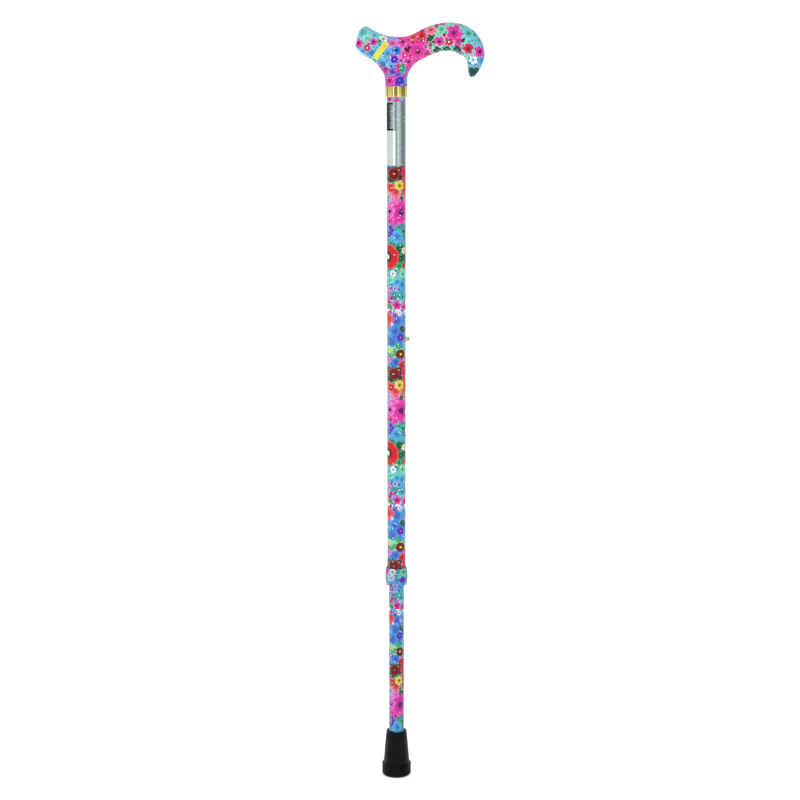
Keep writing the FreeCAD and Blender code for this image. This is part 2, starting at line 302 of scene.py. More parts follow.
def strewn(g, under, place, normal, along, palette):
    """Small blossoms over the surface, one per cell, coloured by where the cell lies."""
    across = g.vector("CROSS_PRODUCT", normal, along)
    for cell, smallest, largest, petals, share in STREWN:
        voronoi = g.cells(place, cell)
        away = g.vector("SUBTRACT", place, voronoi["Position"])
        random = g.split(voronoi["Color"])
        petal, heart = palette(g, voronoi["Position"], random[1])
        out = g.call(BLOSSOM, A=g.vector("DOT_PRODUCT", away, along),
                     B=g.vector("DOT_PRODUCT", away, across),
                     Radius=g.scale_shift(random[0], largest - smallest, smallest),
                     Petals=petals, Ring=0.0, Petal=petal, Heart=heart)
        shown = g.times(out["Mask"], g.math("LESS_THAN", random[2], share))
        under = g.mix(shown, under, out["Colour"])
    return under


def specks(g, under, place):
    """Tiny pale and dark dots between the blossoms."""
    voronoi = g.cells(place, SPECK_CELL)
    chance = g.split(voronoi["Color"])[0]
    dot = g.step(voronoi["Distance"], 0.26, 0.36, 1.0, 0.0)
    pale = g.times(dot, g.math("LESS_THAN", chance, PALE_SPECKS))
    dark = g.times(dot, g.math("GREATER_THAN", chance, DARK_SPECKS_FROM))
    return g.mix(dark, g.mix(pale, under, WHITE), INK)


def palette_of(zones, place_of):
    """Function that picks a cell's petal and heart colours from zones along the piece."""
    def pick(g, centre, chance):
        where = place_of(g, centre)
        ramps = [g.ramp(where, [(zone[0], zone[choice]) for zone in zones]) for choice in (1, 2, 3)]
        first, second, third = (ramp["Color"] for ramp in ramps)
        petal = g.mix(g.math("GREATER_THAN", chance, SECOND_FROM), first, second)
        petal = g.mix(g.math("GREATER_THAN", chance, THIRD_FROM), petal, third)
        heart = g.mix(g.math("GREATER_THAN", chance, DARK_HEART_FROM), YELLOW, INK)
        return petal, heart
    return pick


def one_of(g, stretch, blossoms):
    """The large blossom whose stretch a point lies in, from rows of start, four numbers, a fifth,
    petal colour and heart colour. Gives three numbers as a vector, the fourth, petal, fifth, heart."""
    numbers = g.ramp(stretch, [(start, four) for start, four, *_ in blossoms])
    petals = g.ramp(stretch, [(start, (*petal[:3], fifth)) for start, _, fifth, petal, _ in blossoms])
    hearts = g.ramp(stretch, [(start, heart) for start, *_, heart in blossoms])
    return (*numbers, *petals, hearts["Color"])


# ------ the tubes' print

REPEAT = 203.6          # one repeat of the design down the tube, in millimetres
ROUND = 59.85           # once round the upper tube
TUBE_RADIUS = 9.525     # the upper tube's radius, to which the design is drawn
BACK_SHIFT = 71.0       # how far the design is moved down on the tube's back
BACK_FROM = 16.0        # where the back begins, round the tube from its front
BACK_WOBBLE = 7.0       # how much that edge wanders
TUBE_STIR = 5.0         # how much the ground's bands wander along the tube

# Ground colours down one repeat of the print: start in millimetres, colour
TUBE_GROUND = [
    (0.0, DEEP_LEAF), (13.0, LEAF), (17.5, CORAL), (29.0, SALMON), (33.0, ORCHID), (57.6, HOT_PINK),
    (57.8, TEAL), (64.0, SKY), (76.0, TURQUOISE), (82.0, TEAL), (103.0, LEAF), (103.2, TURQUOISE),
    (120.0, SKY), (133.0, TURQUOISE), (144.0, WHITE), (151.0, SKY), (158.0, CORNFLOWER),
    (180.0, CORNFLOWER), (184.0, MINT), (193.0, TURQUOISE), (198.0, CORNFLOWER), (203.4, SKY),
]

# Blossom colours down one repeat: start in millimetres, then three choices
TUBE_PALETTE = [
    (0.0, MAROON, DEEP_LEAF, TEAL),
    (13.0, CORAL, LEAF, SALMON),
    (30.0, ORCHID, HOT_PINK, LILAC),
    (44.0, HOT_PINK, HOT_PINK, ORCHID),
    (57.8, SKY, LEAF, PURPLE),
    (77.0, DEEP_LEAF, LEAF, TEAL),
    (92.0, TEAL, DEEP_LEAF, CREAM),
    (103.2, TURQUOISE, SKY, MINT),
    (118.0, TURQUOISE, SKY, TEAL),
    (132.0, SKY, WHITE, HOT_PINK),
    (148.0, CORNFLOWER, SKY, LILAC),
    (164.0, CORNFLOWER, CORNFLOWER, SKY),
    (181.0, LEAF, MINT, YELLOW),
    (192.0, SKY, CORNFLOWER, ORCHID),
]

# Large blossoms in three overlapping columns: start of its stretch, offset round the tube,
# distance down, radius, petals, petal colour, heart colour, and how much of a dark ring it has, if any
LEFT_COLUMN = [
    (0.0, -2.7, 6.9, 6.4, 8, MAROON, ROSE, 0.2),
    (13.2, -6.0, 21.2, 4.0, 5, SCARLET, YELLOW),
    (25.5, -9.5, 31.2, 5.2, 6, LILAC, LEAF),
    (37.0, -7.4, 44.5, 6.6, 5, ORCHID, INK),
    (57.8, -6.4, 61.0, 3.1, 5, PURPLE, NAVY),
    (64.2, -7.8, 67.4, 3.2, 5, VIOLET, LILAC),
    (76.5, -10.7, 90.6, 13.6, 9, SCARLET, CREAM, 0.6),
    (103.2, -3.6, 107.4, 3.6, 6, WHITE, TURQUOISE),
    (112.0, 0.8, 116.2, 3.8, 5, SKY, CORNFLOWER),
    (120.5, -9.2, 125.0, 4.2, 5, ORCHID, WHITE),
    (129.6, -5.9, 133.0, 3.2, 5, HOT_PINK, INK),
    (136.8, -7.2, 141.0, 3.4, 2, LEAF, LEAF),
    (146.0, -9.6, 154.0, 7.6, 4, CORAL, SCARLET),
    (162.0, -1.4, 166.6, 4.6, 6, CORNFLOWER, PURPLE),
    (171.8, -4.9, 177.4, 5.2, 6, CORNFLOWER, ROSE),
    (182.8, -8.2, 186.0, 3.2, 5, YELLOW, CREAM),
    (190.0, -12.0, 195.6, 4.8, 5, ORCHID, HOT_PINK),
]
RIGHT_COLUMN = [
    (0.0, 12.4, 6.4, 7.6, 8, CRIMSON, ROSE),
    (12.6, 3.4, 18.6, 5.2, 6, YELLOW, SCARLET),
    (24.2, 13.2, 28.6, 4.2, 5, CORAL, CREAM),
    (33.6, 5.4, 45.4, 11.8, 6, HOT_PINK, PLUM),
    (57.8, 11.2, 60.4, 2.6, 2, TEAL, TEAL),
    (63.2, 0.8, 69.8, 6.8, 5, SKY, CORNFLOWER),
    (77.0, 8.8, 84.4, 3.6, 5, CREAM, YELLOW),
    (88.4, 4.6, 92.2, 3.8, 2, DEEP_LEAF, LEAF),
    (96.2, 9.2, 99.4, 3.0, 5, SCARLET, INK),
    (103.2, 7.2, 108.0, 4.4, 6, MINT, LEAF),
    (113.2, 6.6, 118.6, 5.0, 6, SKY, CORNFLOWER),
    (124.4, 3.4, 128.8, 4.2, 5, TURQUOISE, CREAM),
    (134.6, 0.6, 139.8, 4.8, 5, HOT_PINK, MAROON),
    (145.0, 3.6, 147.8, 2.8, 5, WHITE, SKY),
    (150.6, 0.4, 156.0, 5.0, 6, CORNFLOWER, PURPLE),
    (161.0, 7.6, 164.4, 4.4, 2, DEEP_LEAF, LEAF),
    (168.2, 4.4, 172.8, 4.4, 5, VIOLET, ORCHID),
    (178.8, 2.0, 182.0, 3.2, 2, LEAF, MINT),
    (184.6, 4.6, 190.2, 5.6, 8, MAROON, YELLOW),
    (197.0, 7.6, 203.0, 6.0, 6, SCARLET, CRIMSON),
]
MIDDLE_COLUMN = [
    (0.0, 5.0, 7.6, 3.8, 4, INK, DEEP_LEAF),
    (12.8, -1.2, 15.4, 2.6, 2, LEAF, WHITE),
    (19.8, -0.8, 24.6, 4.8, 5, CORAL, ROSE),
    (29.4, 5.4, 32.2, 2.8, 2, DEEP_LEAF, LEAF),
    (36.2, -2.4, 40.2, 3.4, 5, WHITE, LILAC),
    (45.0, -3.2, 48.4, 3.0, 5, ORCHID, DEEP_LEAF),
    (52.0, 11.0, 54.6, 2.6, 5, LILAC, INK),
    (57.8, 2.6, 60.4, 2.6, 2, LEAF, LEAF),
    (64.0, 11.6, 70.4, 4.6, 2, TEAL, MINT),
    (77.2, 4.2, 82.0, 4.6, 2, DEEP_LEAF, LEAF),
    (87.2, 9.2, 91.6, 4.4, 2, DEEP_LEAF, TEAL),
    (96.4, 3.0, 99.6, 3.4, 2, LEAF, DEEP_LEAF),
    (103.2, -9.4, 107.0, 3.0, 5, SKY, WHITE),
    (110.4, -7.0, 114.2, 3.8, 6, MINT, LEAF),
    (119.2, -1.4, 122.4, 3.0, 5, LILAC, PURPLE),
    (126.2, -2.2, 129.6, 3.2, 5, TEAL, CREAM),
    (136.8, 9.4, 141.8, 4.4, 5, HOT_PINK, INK),
    (147.2, -2.2, 150.4, 3.0, 6, CORNFLOWER, NAVY),
    (154.0, -4.4, 157.8, 3.0, 5, WHITE, SALMON),
    (164.0, -9.6, 169.0, 4.2, 6, SKY, WHITE),
    (175.6, 9.0, 179.4, 3.8, 6, SKY, CREAM),
    (186.2, -2.0, 189.2, 2.8, 2, LEAF, YELLOW),
    (193.4, -0.6, 198.4, 4.8, 6, CORNFLOWER, PURPLE),
]


def make_column(name, blossoms):
    """Group that shows the blossom whose stretch of the tube a point lies in."""
    tree, g, given, results = new_group(
        name, {"Under": "colour", "Round": "number", "Down": "number"}, {"Colour": "colour"})
    rows = []
    for start, offset, down, radius, count, petal, heart, *ring in blossoms:
        place = (offset / ROUND + 0.5, down / REPEAT, radius / ROUND, count / MAX_PETALS)
        rows.append((start / REPEAT, place, ring[0] if ring else 0.0, petal, heart))
    place, count, petal, ring, heart = one_of(g, g.over(given["Down"], REPEAT), rows)
    offset, down, radius = g.split(place)
    middle = g.times(g.minus(offset, 0.5), ROUND)
    a = g.wrapped(g.minus(given["Round"], middle), ROUND)
    b = g.wrapped(g.minus(given["Down"], g.times(down, REPEAT)), REPEAT)
    out = g.call(BLOSSOM, A=a, B=b, Radius=g.times(radius, ROUND), Petals=g.times(count, MAX_PETALS),
                 Ring=ring, Petal=petal, Heart=heart)
    g.feed(results["Colour"], g.mix(out["Mask"], given["Under"], out["Colour"]))
    return tree


COLUMNS = [make_column("middle_blossoms", MIDDLE_COLUMN), make_column("right_blossoms", RIGHT_COLUMN),
           make_column("left_blossoms", LEFT_COLUMN)]


def around_tube(g, x, y):
    """Millimetres round the upper tube from its front, more towards +X."""
    return g.times(g.math("ARCTAN2", x, g.times(y, -1.0)), TUBE_RADIUS)


def make_tube_print():
    """Floral print wrapped round the shaft's axis; Top is the height in mm where a repeat starts."""
    tree, g, given, results = new_group("tube_print", {"Top": "number"}, {"Colour": "colour"})
    place = object_mm(g)
    x, y, z = g.split(place)
    around = around_tube(g, x, y)
    wobble = g.times(g.minus(g.noise(place, 0.3), 0.5), BACK_WOBBLE)
    behind = g.math("GREATER_THAN", g.plus(g.math("ABSOLUTE", around), wobble), BACK_FROM)
    down = g.minus(given["Top"], z)
    front_down = g.math("WRAP", down, 0.0, REPEAT)
    back_down = g.math("WRAP", g.plus(down, BACK_SHIFT), 0.0, REPEAT)
    side_down = g.blend(behind, front_down, back_down)
    normal = g.vector("NORMALIZE", g.join(x, y, 0.0))
    stir = g.times(g.minus(g.noise(place, 0.22, 3.0), 0.5), TUBE_STIR)
    ground_at = g.over(g.plus(side_down, stir), REPEAT)
    colour = g.ramp(ground_at, [(start / REPEAT, c) for start, c in TUBE_GROUND], "LINEAR")["Color"]
    pick = palette_of([(start / REPEAT, *choices) for start, *choices in TUBE_PALETTE],
                      lambda graph, centre: graph.over(graph.split(centre)[2], REPEAT))
    colour = strewn(g, colour, g.join(x, y, side_down), normal, (0.0, 0.0, 1.0), pick)
    back_around = g.wrapped(g.plus(around, ROUND / 2), ROUND)
    for across, below in ((back_around, back_down), (around, front_down)):
        for column in COLUMNS:
            colour = g.call(column, Under=colour, Round=across, Down=below)["Colour"]
    g.feed(results["Colour"], specks(g, colour, place))
    return tree


TUBE_PRINT = make_tube_print()

# ------ the handle's print

# Where the design's values start and how far they run: along X, up Z and out to each side
HANDLE_LOW = -60.0
HANDLE_SPAN = 152.0
HEIGHT_LOW = 700.0
HEIGHT_SPAN = 100.0
DEPTH_SPAN = 20.0
HANDLE_STIR = 0.16      # how much the ground's bands wander, as a share of the span
NEAR_RADII = 1.25       # a blossom shows only within this many of its radii

# The neck is coloured as one place along the handle
NECK_BELOW_Z = 747.0
NECK_BEFORE_X = 30.0
NECK_PLACE = -52.0

# Yellow stroke on each side of the tail: its two ends as (x, z), and half its width
STROKE_ENDS = ((-10.8, 766.6), (-21.2, 753.6))
STROKE_HALF_WIDTH = 3.0
STROKE_BLUR = 0.3
STROKE_FROM_Y = 7.0


def handle_place(x):
    """How far along the design x is, from 0 to 1."""
    return (x - HANDLE_LOW) / HANDLE_SPAN


HANDLE_PALETTE = [
    (-60.0, HOT_PINK, PURPLE, SKY),
    (-45.0, AQUA, MINT, HOT_PINK),
    (-24.0, AQUA, SKY, CORNFLOWER),
    (-12.0, SKY, ORCHID, AQUA),
    (0.0, ORCHID, HOT_PINK, SKY),
    (10.0, HOT_PINK, CRIMSON, MAROON),
    (29.0, HOT_PINK, MINT, DEEP_LEAF),
    (40.0, MINT, HOT_PINK, DEEP_LEAF),
    (55.0, HOT_PINK, MINT, DEEP_LEAF),
    (66.0, AQUA, SKY, MINT),
    (76.0, SKY, CORNFLOWER, AQUA),
]
HANDLE_GROUND = [
    (-60.0, HOT_PINK), (-50.0, PURPLE), (-44.0, AQUA), (-30.0, AQUA), (-12.0, SKY), (2.0, LILAC),
    (10.0, ORCHID), (20.0, HOT_PINK), (30.0, ORCHID), (38.0, MINT), (54.0, MINT), (64.0, AQUA),
    (80.0, AQUA), (90.0, SKY),
]

# Large blossoms of the handle: start of its stretch along X, then its middle as X, Z and |Y|,
# radius, petals, petal colour, heart colour
CROWN_ROW = [
    (-60.0, -33.5, 779.0, 9.0, 7.6, 6, AQUA, TURQUOISE),
    (-26.0, -21.6, 775.6, 8.5, 4.2, 5, AQUA, LEAF),
    (-17.4, -12.6, 772.6, 9.0, 4.4, 5, WHITE, LEAF),
    (-8.0, -3.6, 768.0, 11.0, 4.8, 5, ORCHID, CRIMSON),
    (1.0, 6.4, 769.0, 10.0, 5.4, 5, HOT_PINK, INK),
    (11.8, 17.0, 774.6, 8.5, 5.2, 6, CORAL, SCARLET),
    (22.2, 25.6, 774.6, 9.5, 4.4, 8, SCARLET, MAROON),
    (29.2, 34.4, 780.2, 8.5, 6.0, 8, SALMON, ROSE),
    (40.4, 44.8, 780.4, 9.0, 4.8, 6, MINT, LEAF),
    (49.4, 56.8, 778.0, 10.5, 7.4, 5, HOT_PINK, PLUM),
    (64.2, 71.0, 777.0, 9.0, 6.2, 6, AQUA, LEAF),
    (77.2, 82.0, 770.6, 6.5, 5.0, 5, AQUA, TURQUOISE),
]
ARM_ROW = [
    (-60.0, -37.4, 768.0, 8.5, 5.0, 5, HOT_PINK, INK),
    (-32.8, -28.8, 763.4, 11.0, 4.0, 5, CRIMSON, CREAM),
    (-26.0, -22.6, 769.2, 11.5, 4.0, 5, HOT_PINK, INK),
    (-18.8, -16.4, 770.6, 12.3, 2.6, 4, LEAF, INK),
    (-12.4, -8.4, 757.8, 12.4, 4.0, 5, SKY, CORNFLOWER),
    (-4.4, 0.2, 760.8, 12.6, 4.8, 6, CORNFLOWER, NAVY),
    (5.2, 8.8, 756.2, 12.4, 4.2, 5, HOT_PINK, CREAM),
    (13.0, 21.6, 759.4, 12.4, 8.8, 6, HOT_PINK, MAROON),
    (30.4, 33.6, 773.0, 12.8, 3.4, 4, DEEP_LEAF, LEAF),
    (37.2, 42.6, 769.4, 12.4, 5.4, 5, HOT_PINK, INK),
    (48.2, 52.2, 769.0, 12.4, 4.6, 5, CRIMSON, WHITE),
    (57.0, 61.2, 769.8, 12.4, 4.2, 5, HOT_PINK, DEEP_LEAF),
    (65.6, 71.2, 762.6, 11.0, 5.6, 5, CRIMSON, MAROON),
    (76.8, 82.4, 759.6, 9.0, 5.8, 5, HOT_PINK, INK),
]
LOW_ROW = [
    (-60.0, -33.6, 759.6, 9.0, 4.4, 4, SKY, CORNFLOWER),
    (-30.2, -24.2, 758.2, 11.0, 7.6, 6, SKY, CORNFLOWER),
    (-17.8, -13.4, 747.6, 8.5, 3.8, 5, CORNFLOWER, ROSE),
    (-10.6, -6.4, 731.6, 8.0, 5.8, 5, HOT_PINK, MAROON),
    (-1.0, 3.2, 731.6, 10.0, 4.8, 5, VIOLET, CORNFLOWER),
    (7.6, 10.6, 731.6, 6.0, 4.2, 5, SKY, TURQUOISE),
    (17.0, 29.6, 757.4, 9.0, 5.0, 4, CRIMSON, DEEP_LEAF),
    (35.6, 40.4, 761.4, 8.0, 4.6, 4, DEEP_LEAF, TEAL),
    (45.4, 50.2, 761.4, 7.5, 4.6, 4, DEEP_LEAF, LEAF),
    (55.4, 60.4, 762.0, 8.0, 4.8, 4, DEEP_LEAF, TEAL),
    (66.4, 76.2, 751.6, 9.5, 4.6, 5, WHITE, SKY),
    (80.8, 84.0, 751.0, 5.0, 5.0, 5, SKY, CORNFLOWER),
]
NECK_ROW = [
    (-60.0, -10.6, 742.4, 6.0, 4.2, 5, CRIMSON, PURPLE),
    (-6.2, -2.0, 752.2, 12.3, 4.2, 5, VIOLET, LILAC),
    (2.6, 5.4, 743.6, 11.8, 4.8, 4, LEAF, MINT),
    (10.2, 12.6, 749.6, 10.0, 4.4, 5, HOT_PINK, INK),
    (40.0, 77.4, 739.6, 6.5, 6.2, 4, DEEP_LEAF, NAVY),
]


def make_row(name, blossoms):
    """Group that shows the blossom whose stretch along the handle a point lies in."""
    tree, g, given, results = new_group(
        name, {"Under": "colour", "Spot": "vector", "Along": "vector", "Across": "vector"},
        {"Colour": "colour"})
    rows = []
    for start, x, z, y, radius, count, petal, heart in blossoms:
        place = (handle_place(x), (z - HEIGHT_LOW) / HEIGHT_SPAN, y / DEPTH_SPAN, radius / DEPTH_SPAN)
        rows.append((handle_place(start), place, count / MAX_PETALS, petal, heart))
    stretch = g.over(g.minus(g.split(given["Spot"])[0], HANDLE_LOW), HANDLE_SPAN)
    place, radius, petal, count, heart = one_of(g, stretch, rows)
    px, pz, py = g.split(place)
    middle = g.join(g.scale_shift(px, HANDLE_SPAN, HANDLE_LOW), g.times(py, DEPTH_SPAN),
                    g.scale_shift(pz, HEIGHT_SPAN, HEIGHT_LOW))
    away = g.vector("SUBTRACT", given["Spot"], middle)
    out = g.call(BLOSSOM, A=g.vector("DOT_PRODUCT", away, given["Along"]),
                 B=g.vector("DOT_PRODUCT", away, given["Across"]), Radius=g.times(radius, DEPTH_SPAN),
                 Petals=g.times(count, MAX_PETALS), Ring=0.0, Petal=petal, Heart=heart)
    near = g.math("LESS_THAN", g.vector("LENGTH", away), g.times(radius, NEAR_RADII * DEPTH_SPAN))
    mask = g.times(out["Mask"], near)
    g.feed(results["Colour"], g.mix(mask, given["Under"], out["Colour"]))
    return tree


def stroke(g, under, spot):
    """Straight yellow stroke with round ends, on both sides of the handle."""
    x, y, z = g.split(spot)
    start, end = (Vector(point) for point in STROKE_ENDS)
    length = (end - start).length
    along = (end - start).normalized()
    from_x = g.minus(x, start.x)
    from_z = g.minus(z, start.y)
    run = g.plus(g.times(from_x, along.x), g.times(from_z, along.y))
    side = g.plus(g.times(from_x, -along.y), g.times(from_z, along.x))
    over = g.minus(run, g.math("MINIMUM", g.math("MAXIMUM", run, 0.0), length))
    inside = g.step(g.hypot(over, side), STROKE_HALF_WIDTH - STROKE_BLUR,
                    STROKE_HALF_WIDTH + STROKE_BLUR, 1.0, 0.0)
    mask = g.times(inside, g.math("GREATER_THAN", y, STROKE_FROM_Y))
    return g.mix(mask, under, YELLOW)


def make_handle_print():
    """Floral print over the handle, the same large blossoms on both of its faces."""
    tree, g, _, results = new_group("handle_print", {}, {"Colour": "colour"})
    place = object_mm(g)
    x, y, z = g.split(place)
    nx, ny, nz = g.split(g.add("ShaderNodeTexCoord").outputs["Normal"])
    run = g.add("ShaderNodeAttribute", attribute_name="run").outputs["Vector"]

    def along_surface(normal):
        along = g.vector("SUBTRACT", run, g.vector("SCALE", normal, g.vector("DOT_PRODUCT", run, normal)))
        return g.vector("NORMALIZE", along)

    def place_of(graph, centre):
        cx, _, cz = graph.split(centre)
        on_neck = graph.times(graph.math("LESS_THAN", cz, NECK_BELOW_Z),
                              graph.math("LESS_THAN", cx, NECK_BEFORE_X))
        zone_x = graph.blend(on_neck, cx, NECK_PLACE)
        return graph.over(graph.minus(zone_x, HANDLE_LOW), HANDLE_SPAN)

    stir = g.times(g.minus(g.noise(place, 0.12, 3.0), 0.5), HANDLE_STIR)
    ground_at = g.plus(place_of(g, place), stir)
    colour = g.ramp(ground_at, [(handle_place(at), c) for at, c in HANDLE_GROUND], "LINEAR")["Color"]
    pick = palette_of([(handle_place(at), *choices) for at, *choices in HANDLE_PALETTE], place_of)
    normal = g.join(nx, ny, nz)
    colour = strewn(g, colour, place, normal, along_surface(normal), pick)

    spot = g.join(x, g.math("ABSOLUTE", y), z)
    mirrored = g.join(nx, g.times(ny, g.math("SIGN", y)), nz)
    along = along_surface(mirrored)
    across = g.vector("CROSS_PRODUCT", mirrored, along)
    for name, blossoms in (("neck_blossoms", NECK_ROW), ("low_blossoms", LOW_ROW),
                           ("crown_blossoms", CROWN_ROW), ("arm_blossoms", ARM_ROW)):
        row = make_row(name, blossoms)
        colour = g.call(row, Under=colour, Spot=spot, Along=along, Across=across)["Colour"]
    g.feed(results["Colour"], specks(g, stroke(g, colour, spot), place))
    return tree


HANDLE_PRINT = make_handle_print()

# ------ materials

LACQUER = {"Coat_Weight": 0.32, "Coat_Roughness": 0.08, "Specular_IOR_Level": 0.1}
BARE_ALUMINIUM = (srgb(150, 152, 155), srgb(196, 198, 202))

# Heights where a repeat of the print starts, and the tone that darkens it, on each printed piece. On the
# collar that tone is partly the print's own darker colour and partly painted shade of the barrelled collar
UPPER_PRINT = (646.0, (1.0, 1.0, 1.0))
LOWER_PRINT = (124.9, (0.84, 0.92, 0.96))
COLLAR_PRINT_AND_SHADE = (333.4, (0.82, 0.74, 0.80))

# The collar's own blossoms: way round from the front, height, radius, petals, petal and heart colours
COLLAR_BLOSSOMS = [
    (5.6, 217.4, 3.6, 5.0, VIOLET, PLUM), (-11.4, 225.6, 4.2, 5.0, HOT_PINK, MAROON),
    (-5.2, 219.0, 3.2, 5.0, LILAC, TURQUOISE),
]


def lacquered(g, shader, colour):
    """Glossy lacquer over a printed film, with faint orange peel and fine scuffs; gives its colour."""
    place = object_mm(g)
    peel = g.noise(place, 0.55, 2.0)
    scuff = g.noise(g.vector("MULTIPLY", place, (1.0, 1.0, 0.12)), 2.4, 4.0, 0.7)
    colour = g.mix(g.step(scuff, 0.62, 0.78, 0.0, 0.05), colour, WHITE)
    g.wire(shader, Base_Color=colour, Roughness=g.step(scuff, 0.35, 0.75, 0.30, 0.46),
           Normal=g.bump(peel, 0.12, 0.0004))
    return colour


def printed_tube(name, print_layout, bore=None, blossoms=()):
    """Printed tube; inside the bore and in the button holes the aluminium is bare."""
    material, g, shader = new_material(name, **LACQUER)
    top, tone = print_layout
    # The print times the piece's tone; on the collar that tone is partly painted shade
    colour = g.mix(1.0, g.call(TUBE_PRINT, Top=top)["Colour"], (*tone, 1.0), "MULTIPLY")
    place = object_mm(g)
    x, y, z = g.split(place)
    around = around_tube(g, x, y)
    for offset, height, radius, petals, petal, heart in blossoms:
        out = g.call(BLOSSOM, A=g.minus(around, offset), B=g.minus(z, height), Radius=radius,
                     Petals=petals, Petal=petal, Heart=heart)
        colour = g.mix(out["Mask"], colour, out["Colour"])
    colour = lacquered(g, shader, colour)
    if bore is not None:
        bare = g.math("LESS_THAN", g.hypot(x, y), bore)
        drawn = g.noise(g.vector("MULTIPLY", place, (1.0, 1.0, 0.02)), 3.0, 3.0)
        metal = g.mix(drawn, *BARE_ALUMINIUM)
        g.wire(shader, Base_Color=g.mix(bare, colour, metal), Metallic=bare)
    return material


def printed_handle():
    """The handle's printed and lacquered skin."""
    material, g, shader = new_material("printed_grip", **LACQUER)
    lacquered(g, shader, g.call(HANDLE_PRINT)["Colour"])
    return material


def turned_metal(name, light, dark, low, high, stretch, relief=0.06, edge=WHITE):
    """Polished or turned metal: fine rings or lines round the axis, and a little tarnish."""
    material, g, shader = new_material(name, Metallic=1.0, Specular_Tint=edge)
    place = object_mm(g)
    lines = g.noise(g.vector("MULTIPLY", place, stretch), 1.0, 3.0, 0.6)
    tarnish = g.noise(place, 0.35, 4.0, 0.6)
    g.wire(shader, Base_Color=g.mix(g.step(tarnish, 0.42, 0.72), light, dark),
           Roughness=g.blend(g.times(lines, tarnish), low, high), Normal=g.bump(lines, relief, 0.00002))
    return material


def moulded(name, light, dark, roughness):
    """Injection-moulded plastic with a fine satin texture."""
    material, g, shader = new_material(name, IOR=1.5)
    place = object_mm(g)
    grain = g.noise(place, 6.0, 3.0)
    g.wire(shader, Base_Color=g.mix(g.noise(place, 0.4, 3.0), dark, light),
           Roughness=g.step(grain, 0.3, 0.7, roughness - 0.06, roughness + 0.06),
           Normal=g.bump(grain, 0.25, 0.00006))
    return material


def rubber():
    """Black moulded rubber: satin skin, clouded, and scuffed grey on the tread."""
    material, g, shader = new_material("black_rubber", Specular_IOR_Level=0.1)
    place = object_mm(g)
    height = g.split(place)[2]
    grain = g.noise(place, 3.0, 4.0, 0.65)
    cloud = g.noise(place, 0.22, 3.0)
    skin = g.mix(g.step(cloud, 0.35, 0.75), srgb(3, 8, 10), srgb(9, 14, 16))
    tread = g.times(g.step(height, 0.4, 2.6, 1.0, 0.0), g.step(grain, 0.35, 0.6))
    g.wire(shader, Base_Color=g.mix(tread, skin, srgb(66, 66, 64)),
           Roughness=g.step(grain, 0.25, 0.75, 0.30, 0.46), Normal=g.bump(grain, 0.35, 0.00012))
    return material


# The foil's printed marks, a darker teal band down its +X side, and painted glints (white highlight dots).
# Ways round the tube are from its front, and heights are in millimetres
MARKS_LEFT = -15.6
BARS_RIGHT = -3.4
BAR_HEIGHT = 1.7
MARKS_BELOW_TOP = 1.4
MARKS_ABOVE_PANEL = 0.3
BLOCK = (-16.4, -4.8)
TEAL_SIDE = (6.6, 17.0)
PAINTED_GLINT_CELL = 2.3
PAINTED_GLINT_SHARE = 0.13
PANEL_MARGIN_FROM = -3.6


def foil():
    """Silver foil label: brushed and finely creased, with a dark mottled block between two bars, and
    painted glints.
    """
    material, g, shader = new_material("silver_foil", Specular_IOR_Level=0.3)
    place = object_mm(g)
    x, y, z = g.split(place)
    around = around_tube(g, x, y)
    brush = g.noise(g.vector("MULTIPLY", place, (5.0, 5.0, 0.3)), 1.0, 3.0, 0.6)
    crease = g.noise(place, 0.2, 4.0, 0.7)
    grain = g.noise(place, 0.85, 3.0, 0.65)

    def between(value, low, high, edge):
        past_low = g.step(value, low - edge, low + edge)
        return g.times(past_low, g.step(value, high - edge, high + edge, 1.0, 0.0))

    silver = g.mix(brush, srgb(168, 186, 188), srgb(212, 228, 231))
    silver = g.mix(g.step(grain, 0.4, 0.7, 0.30, 0.0), silver, srgb(84, 98, 100))
    # A darker teal band down the foil's +X side, drawn into its colour
    silver = g.mix(g.times(between(around, *TEAL_SIDE, 1.4), 0.8), silver, srgb(112, 144, 146))

    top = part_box("shaft_label")[1].z / MM - MARKS_BELOW_TOP
    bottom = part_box("label_panel")[1].z / MM + MARKS_ABOVE_PANEL
    # The block's ink is solid at the side and breaks up towards the front
    thinnest = g.step(around, -9.5, -5.5, 0.90, 0.30)
    thickest = g.step(around, -8.5, -5.0, 1.0, 0.80)
    mottle = g.step(grain, 0.38, 0.60, thinnest, thickest)
    block = g.times(g.times(between(z, bottom, top, 0.15), between(around, *BLOCK, 1.4)), mottle)
    bars = g.math("MAXIMUM", between(z, top - BAR_HEIGHT, top, 0.12),
                  between(z, bottom, bottom + BAR_HEIGHT, 0.12))
    dark = g.math("MAXIMUM", block, g.times(bars, between(around, MARKS_LEFT, BARS_RIGHT, 0.2)))
    # Painted glints: scattered white dots drawn into the colour, with less metal there, standing in for
    # sparkles of reflected light
    painted_glint_cells = g.cells(place, PAINTED_GLINT_CELL)
    painted_glint = g.times(g.step(painted_glint_cells["Distance"], 0.14, 0.30, 1.0, 0.0),
                    g.math("LESS_THAN", g.split(painted_glint_cells["Color"])[0], PAINTED_GLINT_SHARE))
    colour = g.mix(dark, silver, srgb(14, 18, 19))
    relief = g.scale_shift(crease, 1.0, g.times(grain, 0.3))
    g.wire(shader, Base_Color=g.mix(painted_glint, colour, srgb(232, 240, 242)),
           Metallic=g.blend(painted_glint, 0.84, 0.1), Roughness=g.blend(dark, g.blend(brush, 0.16, 0.30), 0.6),
           Normal=g.bump(relief, 0.3, 0.0004))
    return material


